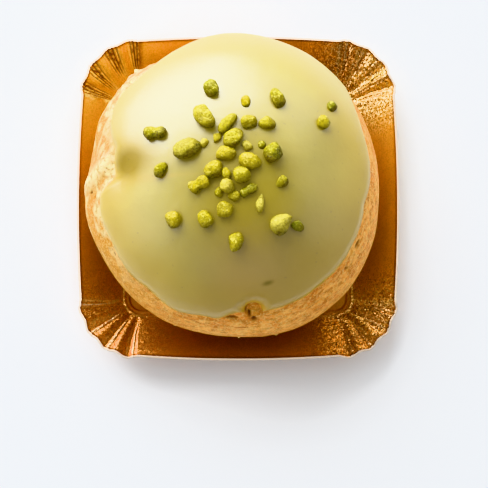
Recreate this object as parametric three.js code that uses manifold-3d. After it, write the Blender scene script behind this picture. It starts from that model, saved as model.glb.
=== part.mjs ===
// Pistachio cream puff in its gold card case. A choux bun carries a poured icing with chopped pistachio nuts
// set into it, and stands in the small pressed card case that it is sold in. Millimetres, +Z up, the origin
// under the middle of the case. North is +Y, and an azimuth is counted anticlockwise from +X.

import * as THREE from "three";
import { mergeVertices } from "three/addons/utils/BufferGeometryUtils.js";
import Module from "manifold-3d";

// Card case
const CASE_WIDTH = 90.6; // along X, over the rim
const CASE_DEPTH = 92; // along Y, over the rim
const CASE_HEIGHT = 9;
const CARD = 0.7;
const WALL_RUN = 12; // from the wall's foot out to the rim, in plan
const FLOOR_CORNER = 4.3; // corner radius at the wall's foot
const LEDGE = 1.4; // pressed ledge between the floor and the wall
const LEDGE_RISE = 0.6;
const LEDGE_SLOPE = 0.5;
const SIDE_BOW = 1; // how far the middle of a side stands out from its ends
const PLEATS = 4; // in each corner, bulging outwards
const PLEAT_DEPTH = 1.2; // how far a pleat bulges from the plain wall, at the rim

// Choux bun, in its own frame with the origin in the middle of its base
const BUN_PLACE = new THREE.Vector2(-1, 1.4);
const SEAT_GAP = 0.1; // between the case's floor and the bun's base
const BUN_RADIUS = 41;
const WAIST_HEIGHT = 16.2; // base to the widest level
const DOME_RISE = 28; // widest level to the crown
const UNDER_DROP = 22; // half height of the ellipse that the base cuts off

// Broad swells, and hollows where the height is negative: place and reach in degrees, height in millimetres
const SWELLS = [
  { azimuth: 304, polar: 94, reach: 32, height: 1.8 },
  { azimuth: 235, polar: 92, reach: 20, height: 0.8 },
  { azimuth: 354, polar: 90, reach: 10, height: -0.6 },
  { azimuth: 9, polar: 88, reach: 18, height: -0.7 },
  { azimuth: 36, polar: 88, reach: 12, height: 0.2 },
  { azimuth: 54, polar: 90, reach: 13, height: 0.1 },
  { azimuth: 95, polar: 85, reach: 22, height: 0.5 },
  { azimuth: 118, polar: 85, reach: 14, height: -0.5 },
  { azimuth: 133, polar: 90, reach: 12, height: 1.7 },
  { azimuth: 153, polar: 90, reach: 10, height: 1.2 },
  { azimuth: 170, polar: 80, reach: 12, height: -1 },
  { azimuth: 191, polar: 84, reach: 12, height: 0.8 },
  { azimuth: 165, polar: 46, reach: 8, height: 0.25 },
  { azimuth: 176, polar: 43, reach: 6.5, height: -0.5 },
  { azimuth: 150, polar: 52, reach: 13, height: 0.6 },
  { azimuth: 8, polar: 42, reach: 14, height: -0.6 },
];

// Crags of the baked flank: waves round the bun and down it
const CRAG_HEIGHT = 0.3;
const CRAGS_ROUND = 11;
const CRAGS_DOWN = 7;

// Icing
const ICING_GAP = 0.35; // between the bun and the icing
const ICING_THICKNESS = 1.7;
const LIP = 4; // width of the lip at the edge
const LIP_CURVE = 2.2; // above 1, the lip is the more rounded
const EDGE_POLAR = 62.5; // the edge's usual angle from the crown

// Where the icing ran further down than that, or stopped short, all in degrees
const ICING_RUNS = [
  { azimuth: 10, spread: 14, further: 1.5 },
  { azimuth: 349, spread: 4, further: -1.5 },
  { azimuth: 85, spread: 46, further: 19.5 },
  { azimuth: 62, spread: 28, further: 6.5 },
  { azimuth: 41, spread: 10, further: 3 },
  { azimuth: 93, spread: 14, further: 3.5 },
  { azimuth: 145, spread: 9, further: 5 },
  { azimuth: 167, spread: 8, further: -9 },
  { azimuth: 176, spread: 5, further: -5 },
  { azimuth: 180, spread: 4, further: -6 },
  { azimuth: 197, spread: 9, further: 3 },
  { azimuth: 220, spread: 12, further: 4 },
  { azimuth: 246, spread: 13, further: 6.5 },
  { azimuth: 263, spread: 6, further: 2.5 },
  { azimuth: 271, spread: 5, further: -2 },
];

// Burst bubble near the icing's edge, which bares a pit in the crust: radii, and how far the balls that cut
// them are lifted off the bun
const BUBBLE = { azimuth: 278, polar: 59, hole: 2.5, holeLift: 1.5, pit: 2.2, pitLift: 1 };

// Chopped nuts: x and y in the bun's frame, length, width, and the turn of the length from +X in degrees
const NUTS = [
  [-6, 23, 4.9, 4.4, 100],
  [3, 19.5, 3.6, 2.4, 80],
  [11.5, 20.5, 5.2, 3.9, 104],
  [-8, 15, 7.2, 5.4, 118],
  [-2, 13, 6.4, 3.5, 45],
  [4, 13.5, 4.5, 3.7, 10],
  [9, 13.5, 4.3, 3.7, 170],
  [-21, 11.2, 6.2, 4.4, 175],
  [-12.5, 6.5, 7.6, 4.7, 21],
  [-8, 8, 2, 1.8, 0],
  [-4.5, 9.5, 2.4, 2, 60],
  [0, 9, 5.6, 4.2, 35],
  [-2, 5, 5.4, 3.7, 25],
  [3.5, 7, 2.6, 2, 130],
  [7.5, 7.5, 2.2, 2, 90],
  [10.5, 5, 5.3, 5, 120],
  [4.5, 2.5, 6, 4.2, 155],
  [-19.5, 1, 4, 3.2, 50],
  [-5.5, 0.5, 5.4, 4.1, 30],
  [-2, -0.5, 3.2, 2.6, 90],
  [2, -1, 5.1, 4.3, 110],
  [-9.5, -3.5, 6, 4, 30],
  [-2, -4, 3.9, 3.7, 0],
  [-4, -5.5, 2.6, 2.2, 90],
  [0, -6.5, 3, 2.7, 30],
  [3.5, -5, 5.2, 3.2, 25],
  [13, -2.5, 3.4, 3, 60],
  [7, -8.5, 4.6, 2.4, 78],
  [-2.5, -10.2, 4.2, 3.9, 20],
  [-16.3, -12.3, 4.5, 3.9, 100],
  [-7.5, -12.5, 4.3, 3.8, 130],
  [13, -13.2, 6.6, 4.6, 40],
  [17, -14, 3.4, 2.6, 150],
  [0.5, -18.5, 4.7, 4.2, 80],
  [26.5, 19.5, 2.7, 2.6, 0],
  [24, 14.5, 3.5, 3.3, 0],
];
const NUT_HEIGHT = 0.8; // height as a share of the width
const NUT_SINK = 0.9; // how deep a nut is set in the icing
const NUT_ROUGHNESS = 0.1; // how far its corners stray, as a share of its size
const NUT_SEED = 7;
const CRUMB_WIDTH = 3.6; // a nut narrower than this is a plainer lump

// Facets
const BUN_STEPS = 72; // round the bun and the icing
const COVERED_RINGS = 12; // crown to the icing's edge
const FLANK_RINGS = 8; // icing's edge to the base
const EDGE_CROWDING = 1.8; // above 1, rings crowd towards the icing's edge
const CORNER_STEPS = 6 * PLEATS; // round one corner of the case
const SIDE_STEPS = 6; // along one side of the case
const WALL_RINGS = 3;
const MERGE = 1e-4;

const { degToRad, lerp, smoothstep } = THREE.MathUtils;
const wasm = await Module();
wasm.setup();

// A closed skin: a sphere's grid with each point moved to place(step, ring). Steps run anticlockwise round Z,
// and rings from the crown, ring 0, to the foot, where all the steps meet again.
function closedSkin(steps, rings, place) {
  const skin = new THREE.SphereGeometry(1, steps, rings);
  const { position, uv } = skin.attributes;
  for (let i = 0; i < position.count; i++) {
    const step = Math.round(uv.getX(i) * steps) % steps;
    const ring = Math.round((1 - uv.getY(i)) * rings);
    position.setXYZ(i, ...place(step, ring));
  }
  return bare(skin);
}

// A geometry's positions alone, with shared points merged.
function bare(geometry) {
  geometry.deleteAttribute("normal");
  geometry.deleteAttribute("uv");
  return mergeVertices(geometry, MERGE);
}

function toSolid(geometry) {
  return new wasm.Manifold(
    new wasm.Mesh({
      numProp: 3,
      vertProperties: geometry.attributes.position.array,
      triVerts: new Uint32Array(geometry.index.array),
    }),
  );
}

function toGeometry(solid) {
  const { vertProperties, triVerts } = solid.getMesh();
  return new THREE.BufferGeometry()
    .setAttribute("position", new THREE.BufferAttribute(vertProperties, 3))
    .setIndex(new THREE.BufferAttribute(triVerts, 1));
}

// Card case

const STEPS_PER_QUARTER = CORNER_STEPS + SIDE_STEPS;
const CORNER_X = CASE_WIDTH / 2 - SIDE_BOW - WALL_RUN - FLOOR_CORNER;
const CORNER_Y = CASE_DEPTH / 2 - SIDE_BOW - WALL_RUN - FLOOR_CORNER;
const WALL_FOOT = CARD + LEDGE_RISE;
const WALL_SLOPE = Math.atan2(CASE_HEIGHT - WALL_FOOT, WALL_RUN);

// Section of the card's upper face, from the floor's edge out: [distance out from the wall's foot, height].
const CASE_SECTION = [
  [-LEDGE - LEDGE_SLOPE, CARD],
  [-LEDGE, WALL_FOOT],
  [0, WALL_FOOT],
];
for (let i = 1; i <= WALL_RINGS; i++) {
  const share = i / WALL_RINGS;
  CASE_SECTION.push([share * WALL_RUN, lerp(WALL_FOOT, CASE_HEIGHT, share)]);
}

// The middle of a corner's arcs. Corner 0 is north-east, and they go anticlockwise.
function cornerMiddle(corner) {
  const east = corner % 4 === 0 || corner % 4 === 3;
  const north = corner % 4 < 2;
  return new THREE.Vector2(east ? CORNER_X : -CORNER_X, north ? CORNER_Y : -CORNER_Y);
}

// A point of the case: corners are pleated arcs round one middle, and sides bow out between them.
function casePoint(step, out, height) {
  const corner = Math.floor(step / STEPS_PER_QUARTER);
  const local = step % STEPS_PER_QUARTER;
  const wall = Math.max(0, out / WALL_RUN);
  const round = FLOOR_CORNER + out;
  const startAngle = corner * (Math.PI / 2);
  if (local < CORNER_STEPS) {
    const share = local / CORNER_STEPS;
    const angle = startAngle + share * (Math.PI / 2);
    const bulge = PLEAT_DEPTH * wall * Math.sin(Math.PI * PLEATS * share) ** 2;
    const reach = round + bulge * Math.sin(WALL_SLOPE);
    const middle = cornerMiddle(corner);
    const drop = bulge * Math.cos(WALL_SLOPE);
    return [middle.x + reach * Math.cos(angle), middle.y + reach * Math.sin(angle), height - drop];
  }
  const share = (local - CORNER_STEPS) / SIDE_STEPS;
  const bow = SIDE_BOW * wall * (1 - (2 * share - 1) ** 2);
  const facing = startAngle + Math.PI / 2;
  const line = cornerMiddle(corner).lerp(cornerMiddle(corner + 1), share);
  const reach = round + bow;
  return [line.x + reach * Math.cos(facing), line.y + reach * Math.sin(facing), height];
}

// The card's upper face out to the rim, then its underside, straight below, back to the middle.
function caseGeometry() {
  const faceRings = CASE_SECTION.length;
  const lastRing = 2 * faceRings + 1;
  return closedSkin(4 * STEPS_PER_QUARTER, lastRing, (step, ring) => {
    if (ring === 0) return [0, 0, CARD];
    if (ring === lastRing) return [0, 0, 0];
    const under = ring > faceRings;
    const [out, height] = CASE_SECTION[under ? lastRing - 1 - ring : ring - 1];
    const [x, y, z] = casePoint(step, out, height);
    return [x, y, under ? z - CARD : z];
  });
}

// Bun and icing

const FOOT_POLAR = Math.acos(-WAIST_HEIGHT / UNDER_DROP);
const RELIEF_ENDS = degToRad(105); // below this angle the relief fades, to none at the foot

// The smallest turn from one azimuth to another, in degrees.
function turnBetween(from, to) {
  return THREE.MathUtils.euclideanModulo(to - from + 180, 360) - 180;
}

// How far the bun's skin stands out from the plain dome: the swells by their angular distance, and the crags.
function relief(polar, azimuth) {
  const towards = new THREE.Vector3().setFromSphericalCoords(1, polar, azimuth);
  const crags = Math.sin(CRAGS_ROUND * azimuth) * Math.sin(CRAGS_DOWN * polar);
  let height = CRAG_HEIGHT * crags * Math.sin(polar);
  for (const swell of SWELLS) {
    const middle = new THREE.Vector3();
    middle.setFromSphericalCoords(1, degToRad(swell.polar), degToRad(swell.azimuth));
    height += swell.height * Math.exp(-((towards.angleTo(middle) / degToRad(swell.reach)) ** 2));
  }
  return height * (1 - smoothstep(polar, RELIEF_ENDS, FOOT_POLAR));
}

// The plain dome's outward direction at an angle from the crown, as [sideways, up].
function domeNormal(polar) {
  const rise = polar < Math.PI / 2 ? DOME_RISE : UNDER_DROP;
  return new THREE.Vector2(Math.sin(polar) / BUN_RADIUS, Math.cos(polar) / rise).normalize().toArray();
}

// A point on the bun, or lifted off it.
function bunPoint(polar, azimuth, lift = 0) {
  const rise = polar < Math.PI / 2 ? DOME_RISE : UNDER_DROP;
  const [sideways, up] = domeNormal(polar);
  const out = relief(polar, azimuth) + lift;
  const radius = BUN_RADIUS * Math.sin(polar) + out * sideways;
  const height = WAIST_HEIGHT + rise * Math.cos(polar) + out * up;
  return [radius * Math.cos(azimuth), radius * Math.sin(azimuth), height];
}

// The icing's edge, as an angle from the crown.
function edgePolar(azimuth) {
  const degrees = THREE.MathUtils.radToDeg(azimuth);
  let polar = EDGE_POLAR;
  for (const run of ICING_RUNS) {
    polar += run.further * Math.exp(-((turnBetween(run.azimuth, degrees) / run.spread) ** 2));
  }
  return degToRad(polar);
}

// How far down a covered ring lies, as a share of the way from the crown to the icing's edge.
function coveredShare(ring) {
  return 1 - (1 - ring / COVERED_RINGS) ** EDGE_CROWDING;
}

const stepAzimuth = (step) => (2 * Math.PI * step) / BUN_STEPS;

function bunGeometry() {
  const lastRing = COVERED_RINGS + FLANK_RINGS + 1;
  return closedSkin(BUN_STEPS, lastRing, (step, ring) => {
    if (ring === 0) return bunPoint(0, 0);
    if (ring === lastRing) return [0, 0, 0];
    const azimuth = stepAzimuth(step);
    const edge = edgePolar(azimuth);
    if (ring <= COVERED_RINGS) return bunPoint(coveredShare(ring) * edge, azimuth);
    return bunPoint(lerp(edge, FOOT_POLAR, (ring - COVERED_RINGS) / FLANK_RINGS), azimuth);
  });
}

// The icing's upper skin above a point: full thickness, rounded off to nothing over the lip.
function icingLift(share, edge) {
  const fromEdge = ((1 - share) * edge * (BUN_RADIUS + DOME_RISE)) / 2;
  const inLip = 1 - Math.min(1, fromEdge / LIP);
  return ICING_GAP + ICING_THICKNESS * (1 - inLip ** LIP_CURVE);
}

// The upper skin from the crown to the edge, then the lower skin back to the crown.
function icingGeometry() {
  const lastRing = 2 * COVERED_RINGS;
  return closedSkin(BUN_STEPS, lastRing, (step, ring) => {
    if (ring === 0) return bunPoint(0, 0, ICING_GAP + ICING_THICKNESS);
    if (ring === lastRing) return bunPoint(0, 0, ICING_GAP);
    const azimuth = stepAzimuth(step);
    const edge = edgePolar(azimuth);
    const upper = ring <= COVERED_RINGS;
    const share = coveredShare(upper ? ring : lastRing - ring);
    return bunPoint(share * edge, azimuth, upper ? icingLift(share, edge) : ICING_GAP);
  });
}

// A ball that takes the burst bubble out of the bun or the icing.
function bubbleCut(radius, lift) {
  const place = bunPoint(degToRad(BUBBLE.polar), degToRad(BUBBLE.azimuth), lift);
  return toSolid(bare(new THREE.IcosahedronGeometry(radius, 2)).translate(...place));
}

// Chopped nuts

// A repeatable draw of numbers from 0 to 1.
function seededDraw(seed) {
  let state = seed;
  return () => {
    state = (state * 16807) % 2147483647;
    return state / 2147483647;
  };
}

// One nut: a ball stretched to its size with uneven corners, lying along the icing and set into it.
function nutSolid([x, y, length, width, turn], draw) {
  const height = NUT_HEIGHT * width;
  const plain = width < CRUMB_WIDTH;
  const nut = bare(plain ? new THREE.DodecahedronGeometry(0.5) : new THREE.IcosahedronGeometry(0.5, 1));
  const { position } = nut.attributes;
  const corner = new THREE.Vector3();
  for (let i = 0; i < position.count; i++) {
    corner.fromBufferAttribute(position, i).multiplyScalar(1 + NUT_ROUGHNESS * (2 * draw() - 1));
    position.setXYZ(i, corner.x * length, corner.y * width, corner.z * height);
  }
  const azimuth = Math.atan2(y, x);
  const polar = Math.asin(Math.hypot(x, y) / (BUN_RADIUS + ICING_THICKNESS));
  const [sideways, upwards] = domeNormal(polar);
  const up = new THREE.Vector3(sideways * Math.cos(azimuth), sideways * Math.sin(azimuth), upwards);
  const heading = new THREE.Vector3(Math.cos(degToRad(turn)), Math.sin(degToRad(turn)), 0);
  const across = new THREE.Vector3().crossVectors(up, heading).normalize();
  const along = new THREE.Vector3().crossVectors(across, up);
  const lift = ICING_GAP + ICING_THICKNESS + height / 2 - NUT_SINK;
  const lay = new THREE.Matrix4().makeBasis(along, across, up).setPosition(...bunPoint(polar, azimuth, lift));
  return toSolid(nut.applyMatrix4(lay));
}

const nutDraw = seededDraw(NUT_SEED);
const nuts = NUTS.map((nut) => nutSolid(nut, nutDraw));
const bun = toSolid(bunGeometry()).subtract(bubbleCut(BUBBLE.pit, BUBBLE.pitLift));
const icing = toSolid(icingGeometry()).subtract(bubbleCut(BUBBLE.hole, BUBBLE.holeLift));
const toppedIcing = wasm.Manifold.union([icing, ...nuts]);

// Scene

function namedMesh(name, geometry, finish) {
  const mesh = new THREE.Mesh(geometry, new THREE.MeshStandardMaterial(finish));
  mesh.name = name;
  geometry.computeVertexNormals();
  return mesh;
}

const puff = new THREE.Group();
puff.position.set(BUN_PLACE.x, BUN_PLACE.y, CARD + SEAT_GAP);
puff.add(
  namedMesh("choux_bun", toGeometry(bun), { color: 0xd39a52, roughness: 0.75, metalness: 0 }),
  namedMesh("pistachio_icing", toGeometry(toppedIcing), { color: 0xbfae63, roughness: 0.35, metalness: 0 }),
);

const creamPuff = new THREE.Group();
creamPuff.add(
  namedMesh("gold_card_case", caseGeometry(), { color: 0xc8791a, roughness: 0.3, metalness: 1 }),
  puff,
);

export default creamPuff;
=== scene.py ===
"""Pistachio cream puff in its gold card case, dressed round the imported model.

Shapes are worked out in millimetres, in the model's own frame, and become metres as they go into a mesh.
North is +Y. An azimuth is counted anticlockwise from +X and a polar angle down from the crown, both in
degrees.
"""

import itertools

import bpy
import numpy as np
from mathutils import Matrix, Vector


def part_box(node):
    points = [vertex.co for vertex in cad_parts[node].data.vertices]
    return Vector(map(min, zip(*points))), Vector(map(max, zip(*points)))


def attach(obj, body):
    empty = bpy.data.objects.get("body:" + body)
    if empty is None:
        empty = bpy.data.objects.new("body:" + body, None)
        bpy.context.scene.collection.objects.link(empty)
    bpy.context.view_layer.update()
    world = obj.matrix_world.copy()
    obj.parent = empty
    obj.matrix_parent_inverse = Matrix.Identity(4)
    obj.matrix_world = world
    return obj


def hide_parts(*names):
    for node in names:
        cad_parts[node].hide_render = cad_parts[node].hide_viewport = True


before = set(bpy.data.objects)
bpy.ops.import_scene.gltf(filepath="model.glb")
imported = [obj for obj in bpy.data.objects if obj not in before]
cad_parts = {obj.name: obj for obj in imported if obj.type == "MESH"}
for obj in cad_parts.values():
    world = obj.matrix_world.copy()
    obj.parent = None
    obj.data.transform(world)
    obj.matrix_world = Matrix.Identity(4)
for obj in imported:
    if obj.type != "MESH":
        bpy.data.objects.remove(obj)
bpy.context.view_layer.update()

MM = 0.001

# Card case
case_low, case_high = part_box("gold_card_case")
CASE_WIDTH, CASE_DEPTH, CASE_HEIGHT = (case_high - case_low) / MM
CARD = 0.7
WALL_RUN = 12.0
FLOOR_CORNER = 4.3
FLOOR_WIDENING = 0.8  # by how much the ledge's corners are rounder than the rim's
WIDENING_ENDS = 6.0
LEDGE = 1.4
LEDGE_RISE = 0.6
LEDGE_SLOPE = 0.5
BEAD, BEAD_BACK, BEAD_REACH = 0.22, 0.3, 0.35  # raised along the ledge, just inside the wall's foot
FOOT_ROUNDING = 0.5
SIDE_BOW = 1.0
PLEATS = 4
PLEAT_DEPTH = 1.2
CREASE_DEPTH = 0.2
CUT_WIDTH = 0.6  # slanted cut edge of the card round the rim
RIM_THINNING = 0.45  # what the card loses in thickness over the band next to the rim
RIM_BAND = 1.0
CORNER_X = CASE_WIDTH / 2 - SIDE_BOW - WALL_RUN - FLOOR_CORNER
CORNER_Y = CASE_DEPTH / 2 - SIDE_BOW - WALL_RUN - FLOOR_CORNER
WALL_FOOT = CARD + LEDGE_RISE
WALL_SLOPE = np.arctan2(CASE_HEIGHT - WALL_FOOT, WALL_RUN)
CORNER_STEPS, SIDE_STEPS = 150, 40

# Rows of the card's upper face over floor, ledge, wall and rim, by the distance out from the wall's foot
CASE_ROWS = np.concatenate([
    [-5.4, -3.5, -2.4],
    np.linspace(-2.1, 1.2, 18),
    np.linspace(1.5, WALL_RUN - 0.3, 34),
    [WALL_RUN - 0.12, WALL_RUN - 0.04, WALL_RUN],
])

# Fine creases of each corner, north-east first and then anticlockwise: angle from the corner's start, half
# width and how far the lines turn on towards the foot, in degrees, number of lines, and the share of the
# wall where they begin
CREASES = [
    [(8, 6, 0, 3, 0.05), (24, 5, 0, 3, 0.1), (41, 6, 0, 4, 0.25), (60, 7, 0, 4, 0.2), (80, 7, 0, 4, 0.15)],
    [(5, 8, 0, 9, 0.2), (31, 9, 5, 9, 0.25), (56, 9, 12, 9, 0.2), (78, 8, 10, 9, 0.15)],
    [(6, 5, 0, 3, 0.2), (36, 4, 0, 2, 0.1), (58, 6, 0, 3, 0.1), (84, 5, 0, 3, 0.1)],
    [(14, 6, 0, 3, 0.3), (35, 6, 0, 4, 0.2), (58, 6, 0, 4, 0.15), (78, 6, 0, 4, 0.35)],
]

# In the same order, how crazed each corner's foil is, how dark the painted shade in its creases is, and
# how strong the painted highlight on the ridges between them
CRAZED = np.array([1.0, 0.1, 0.75, 1.4])
PAINTED_CREASE_DARKNESS = np.array([0.35, 1.0, 0.4, 0.4])
PAINTED_RIDGE_LIGHT = np.array([0.25, 0.0, 0.8, 0.35])

# By the way round the case, how much painted reflection lightens the foil and how much painted shade
# darkens it: 0, 2, 4 and 6 are the corners and 1, 3, 5 and 7 the sides after them
FOIL = [
    (-1.0, 0.6, 0.0), (-0.4, 0.9, 0.0), (0.0, 0.9, 0.1), (0.35, 0.5, 0.85), (1.0, 0.55, 0.5),
    (1.5, 0.7, 0.2), (1.8, 0.78, 0.0), (2.5, 0.76, 0.0), (3.0, 0.36, 0.25), (4.0, 0.25, 0.0),
    (5.0, 0.15, 0.35), (5.6, 0.3, 0.1), (6.0, 0.45, 0.0), (6.5, 0.45, 0.0), (7.0, 0.6, 0.0),
    (7.6, 0.9, 0.0),
]

# Choux bun
SEAT_GAP = 0.1
PUFF_PLACE = np.array([-1.0, 1.4, CARD + SEAT_GAP])
BUN_RADIUS = 41.0
WAIST_HEIGHT = 16.2
DOME_RISE = 28.0
UNDER_DROP = 22.0
FOOT_POLAR = np.degrees(np.arccos(-WAIST_HEIGHT / UNDER_DROP))
FOOT_DRAWN_IN = 0.08  # share by which the base is smaller than the last row above it
RELIEF_ENDS = 105.0
FINE_RELIEF_ENDS = 112.0
BUN_COLUMNS = 700
BUN_DETAIL = [(278, 5, 2.5), (176, 8, 1.5), (133, 8, 1.5)]  # where columns crowd: azimuth, reach, how much
UNDER_ICING = 0.88  # share of the way to the icing's edge that needs few rows
UNDER_ICING_ROWS, FLANK_ROWS, FLANK_CROWDING = 12, 92, 1.15

# Swells and hollows: azimuth, polar angle, reach in degrees, height
SWELLS = [
    (304, 94, 32, 1.8), (235, 92, 20, 0.8), (354, 90, 10, -0.6), (9, 88, 18, -0.7), (36, 88, 12, 0.2),
    (54, 90, 13, 0.1), (95, 85, 22, 0.5), (118, 85, 14, -0.5), (133, 90, 12, 1.7), (153, 90, 10, 1.2),
    (170, 80, 12, -1.0), (191, 84, 12, 0.8), (164, 48, 7, 0.3), (178, 47, 7, -1.4), (150, 52, 13, 0.5),
    (8, 42, 14, -0.6),
]

# Lumps and streaks of the crust: height, cell of the noise, seed
LUMPS = [(0.22, 8, 1), (0.1, (5, 5, 3), 2)]
STREAKS = [(0.6, 1.6, 3), (0.4, 0.8, 4)]
STREAK_HEIGHT = 0.07
STREAK_SQUEEZE = 0.4
GRAIN_HEIGHT = 0.035
FLAKE_HEIGHT = 0.8
FLAKY = (134, 9)  # azimuth and reach

# Roll of crust on the west side, and the furrow beside it, both in degrees round the bun
ROLL_AZIMUTH, ROLL_TURN = 170.5, 10.0
ROLL_WIDTH, ROLL_HEIGHT = 4.2, 0.65
FURROW_BESIDE, FURROW_WIDTH, FURROW_DEPTH = 7.0, 3.6, 0.6

# Pits in the crust, painted dark as painted shade: azimuth, polar angle, half length round the bun, half
# width down it, depth
PITS = [
    (322.2, 68.0, 0.5, 0.45, 0.5), (333.1, 65.6, 1.3, 0.45, 0.5), (278.2, 66.6, 0.8, 1.0, 0.8),
    (276.5, 63.0, 0.45, 1.0, 0.6), (269.0, 64.6, 1.5, 0.5, 0.8), (183.5, 74.5, 0.4, 0.6, 0.4),
    (185.8, 70.2, 0.5, 0.4, 0.4), (163.5, 64.2, 0.5, 0.35, 0.4), (167.0, 64.2, 0.7, 0.3, 0.4),
    (169.8, 65.2, 0.6, 0.3, 0.4), (211.0, 68.0, 0.5, 0.3, 0.3),
]

# Pale crumbs that stand out of the crust: azimuth, polar angle, half width, height
CRUMBS = [
    (129.5, 95, 0.9, 1.5), (131.8, 93, 0.7, 0.9), (134.5, 76, 0.8, 0.5), (139.5, 71, 0.7, 0.5),
    (271.7, 95, 0.35, 0.4), (285.9, 95, 0.4, 0.4), (246.6, 95, 0.35, 0.4), (170.0, 62.5, 0.5, 0.4),
]

# Sides of the crust: where painted light makes it cream on its lit west and north-west, as azimuth and
# reach, and where toasted, with how much as well
LIT_CREAM_WEST = (182, 30)
LIT_CREAM_NORTH_WEST = (142, 24)
TOASTED = [(208, 30, 0.95), (154, 20, 0.9)]

# Icing
ICING_THICKNESS = 2.05
ICING_SINK = 0.35  # how deep its lower skin lies inside the crust
EDGE_SINK = 0.04
LIP = 4.0
LIP_CURVE = 2.2
EDGE_POLAR = 62.5
EDGE_WAVER = [(0.5, 5, 11), (0.25, 2, 12)]  # height in degrees, cell of the noise, seed
ICING_WAVER = [(0.16, 15, 21), (0.05, 6, 22)]
ICING_COLUMNS, ICING_ROWS, ICING_CROWDING = 560, 110, 2.2
LOWER_ROWS = slice(-2, None, -4)  # the lower skin has every fourth row of the upper one, edge first

# Where the icing ran further down, or stopped short: azimuth, spread, how far
ICING_RUNS = [
    (10, 14, 1.5), (349, 4, -1.5), (85, 46, 19.5), (62, 28, 6.5), (41, 10, 3), (93, 14, 3.5), (145, 9, 5),
    (167, 8, -9), (176, 5, -5), (180, 4, -6), (197, 9, 3), (220, 12, 4), (246, 13, 6.5), (263, 6, 2.5),
    (271, 5, -2),
]

# Burst bubble at the icing's south edge, with the hollow that it leaves in the crust
BUBBLE_AZIMUTH, BUBBLE_POLAR, BUBBLE_RADIUS = 278.3, 59.6, 2.35
BUBBLE_DEPTH, BUBBLE_ROUGHNESS = 0.9, 0.25
ICING_DETAIL = [(BUBBLE_AZIMUTH, 4.5, 7), (172, 14, 1)]

# Shades of the icing: a dark mark and the parts of the dimple's painted shade, as azimuth, polar angle,
# half length and half width, with the strength of each part, and where painted shade darkens its south
# middle and painted light brightens its north-west, as azimuth, polar angle and reach
ICING_MARK = (287.5, 45.2, 1.5, 0.65)
DIMPLE_SHADE = [(174.5, 43.5, 4.2, 4.6, 1.0), (167.5, 38.0, 4.2, 6.0, 0.6)]
PAINTED_SHADE_SOUTH = (286, 38, 25)
PAINTED_LIGHT_NORTH_WEST = (128, 54, 26)

# Chopped nuts: x and y from the middle of the puff, length, width, turn of the length from +X in degrees,
# and how green, how skinned and how pale each is
NUTS = [
    (-6, 23, 4.9, 4.4, 100, 0.7, 0.45, 0.0), (3, 19.5, 3.6, 2.4, 80, 0.1, 0.3, 0.0),
    (11.5, 20.5, 5.2, 3.9, 104, 0.5, 0.3, 0.0), (-8, 15, 7.2, 5.4, 118, 0.4, 0.3, 0.1),
    (-2, 13, 6.4, 3.5, 45, 0.4, 0.25, 0.1), (4, 13.5, 4.5, 3.7, 10, 0.3, 0.15, 0.1),
    (9, 13.5, 4.3, 3.7, 170, 0.35, 0.2, 0.1), (-21, 11.2, 6.2, 4.4, 175, 0.5, 0.6, 0.0),
    (-12.5, 6.5, 7.6, 4.7, 21, 0.4, 0.4, 0.3), (-8, 8, 2.5, 2.3, 0, 0.1, 0.0, 0.5),
    (-4.5, 9.5, 2.8, 2.4, 60, 0.2, 0.05, 0.2), (0, 9, 5.6, 4.2, 35, 0.4, 0.3, 0.1),
    (-2, 5, 5.4, 3.7, 25, 0.15, 0.1, 0.15), (3.5, 7, 3.1, 2.5, 130, 0.2, 0.0, 0.6),
    (7.5, 7.5, 2.2, 2, 90, 0.7, 0.4, 0.0), (10.5, 5, 5.3, 5, 120, 0.6, 0.5, 0.0),
    (4.5, 2.5, 6, 4.2, 155, 0.1, 0.05, 0.15), (-19.5, 1, 4, 3.2, 50, 0.5, 0.5, 0.0),
    (-5.5, 0.5, 5.4, 4.1, 30, 0.25, 0.25, 0.1), (-2, -0.5, 3.2, 2.6, 90, 0.3, 0.1, 0.1),
    (2, -1, 5.1, 4.3, 110, 0.4, 0.2, 0.1), (-9.5, -3.5, 6, 4, 30, 0.15, 0.15, 0.1),
    (-2, -4, 3.9, 3.7, 0, 0.15, 0.1, 0.45), (-4, -5.5, 2.6, 2.2, 90, 0.4, 0.2, 0.0),
    (0, -6.5, 3, 2.7, 30, 0.3, 0.1, 0.1), (3.5, -5, 5.2, 3.2, 25, 0.7, 0.15, 0.05),
    (13, -2.5, 3.4, 3, 60, 0.5, 0.35, 0.1), (7, -8.5, 4.6, 2.4, 78, 0.2, 0.0, 0.6),
    (-2.5, -10.2, 4.2, 3.9, 20, 0.2, 0.1, 0.15), (-16.3, -12.3, 4.5, 3.9, 100, 0.1, 0.15, 0.1),
    (-7.5, -12.5, 4.3, 3.8, 130, 0.3, 0.15, 0.1), (13, -13.2, 6.6, 4.6, 40, 0.25, 0.1, 0.6),
    (17, -14, 3.4, 2.6, 150, 1.0, 0.05, 0.1), (0.5, -18.5, 4.7, 4.2, 80, 0.35, 0.15, 0.1),
    (26.5, 19.5, 2.7, 2.6, 0, 0.8, 0.5, 0.0), (24, 14.5, 3.5, 3.3, 0, 0.2, 0.1, 0.1),
]
NUT_PINCH = {7: 0.35, 21: 0.4, 25: 0.3}  # narrowed in the middle, by its number in the list
NUT_TAPER = {3: 0.25, 27: 0.35, 31: 0.3}  # narrowed towards one end
NUT_HEIGHT = 0.8  # as a share of the width
NUT_SINK = 0.9
NUT_CUTS = 8
NUT_CUT_DEPTHS = (0.66, 1.0)
NUT_SHARPNESS = 8.0
NUT_SWELL = 1.16  # makes up for what the cuts take off
NUT_ROUGHNESS = [(0.2, 1.7, 31), (0.12, 0.8, 32), (0.05, 0.45, 34)]  # height, cell of the noise, seed
NUT_NOISE_STEP = 40.0  # how far apart the nuts lie in that noise
NUT_SEED = 7
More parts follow.
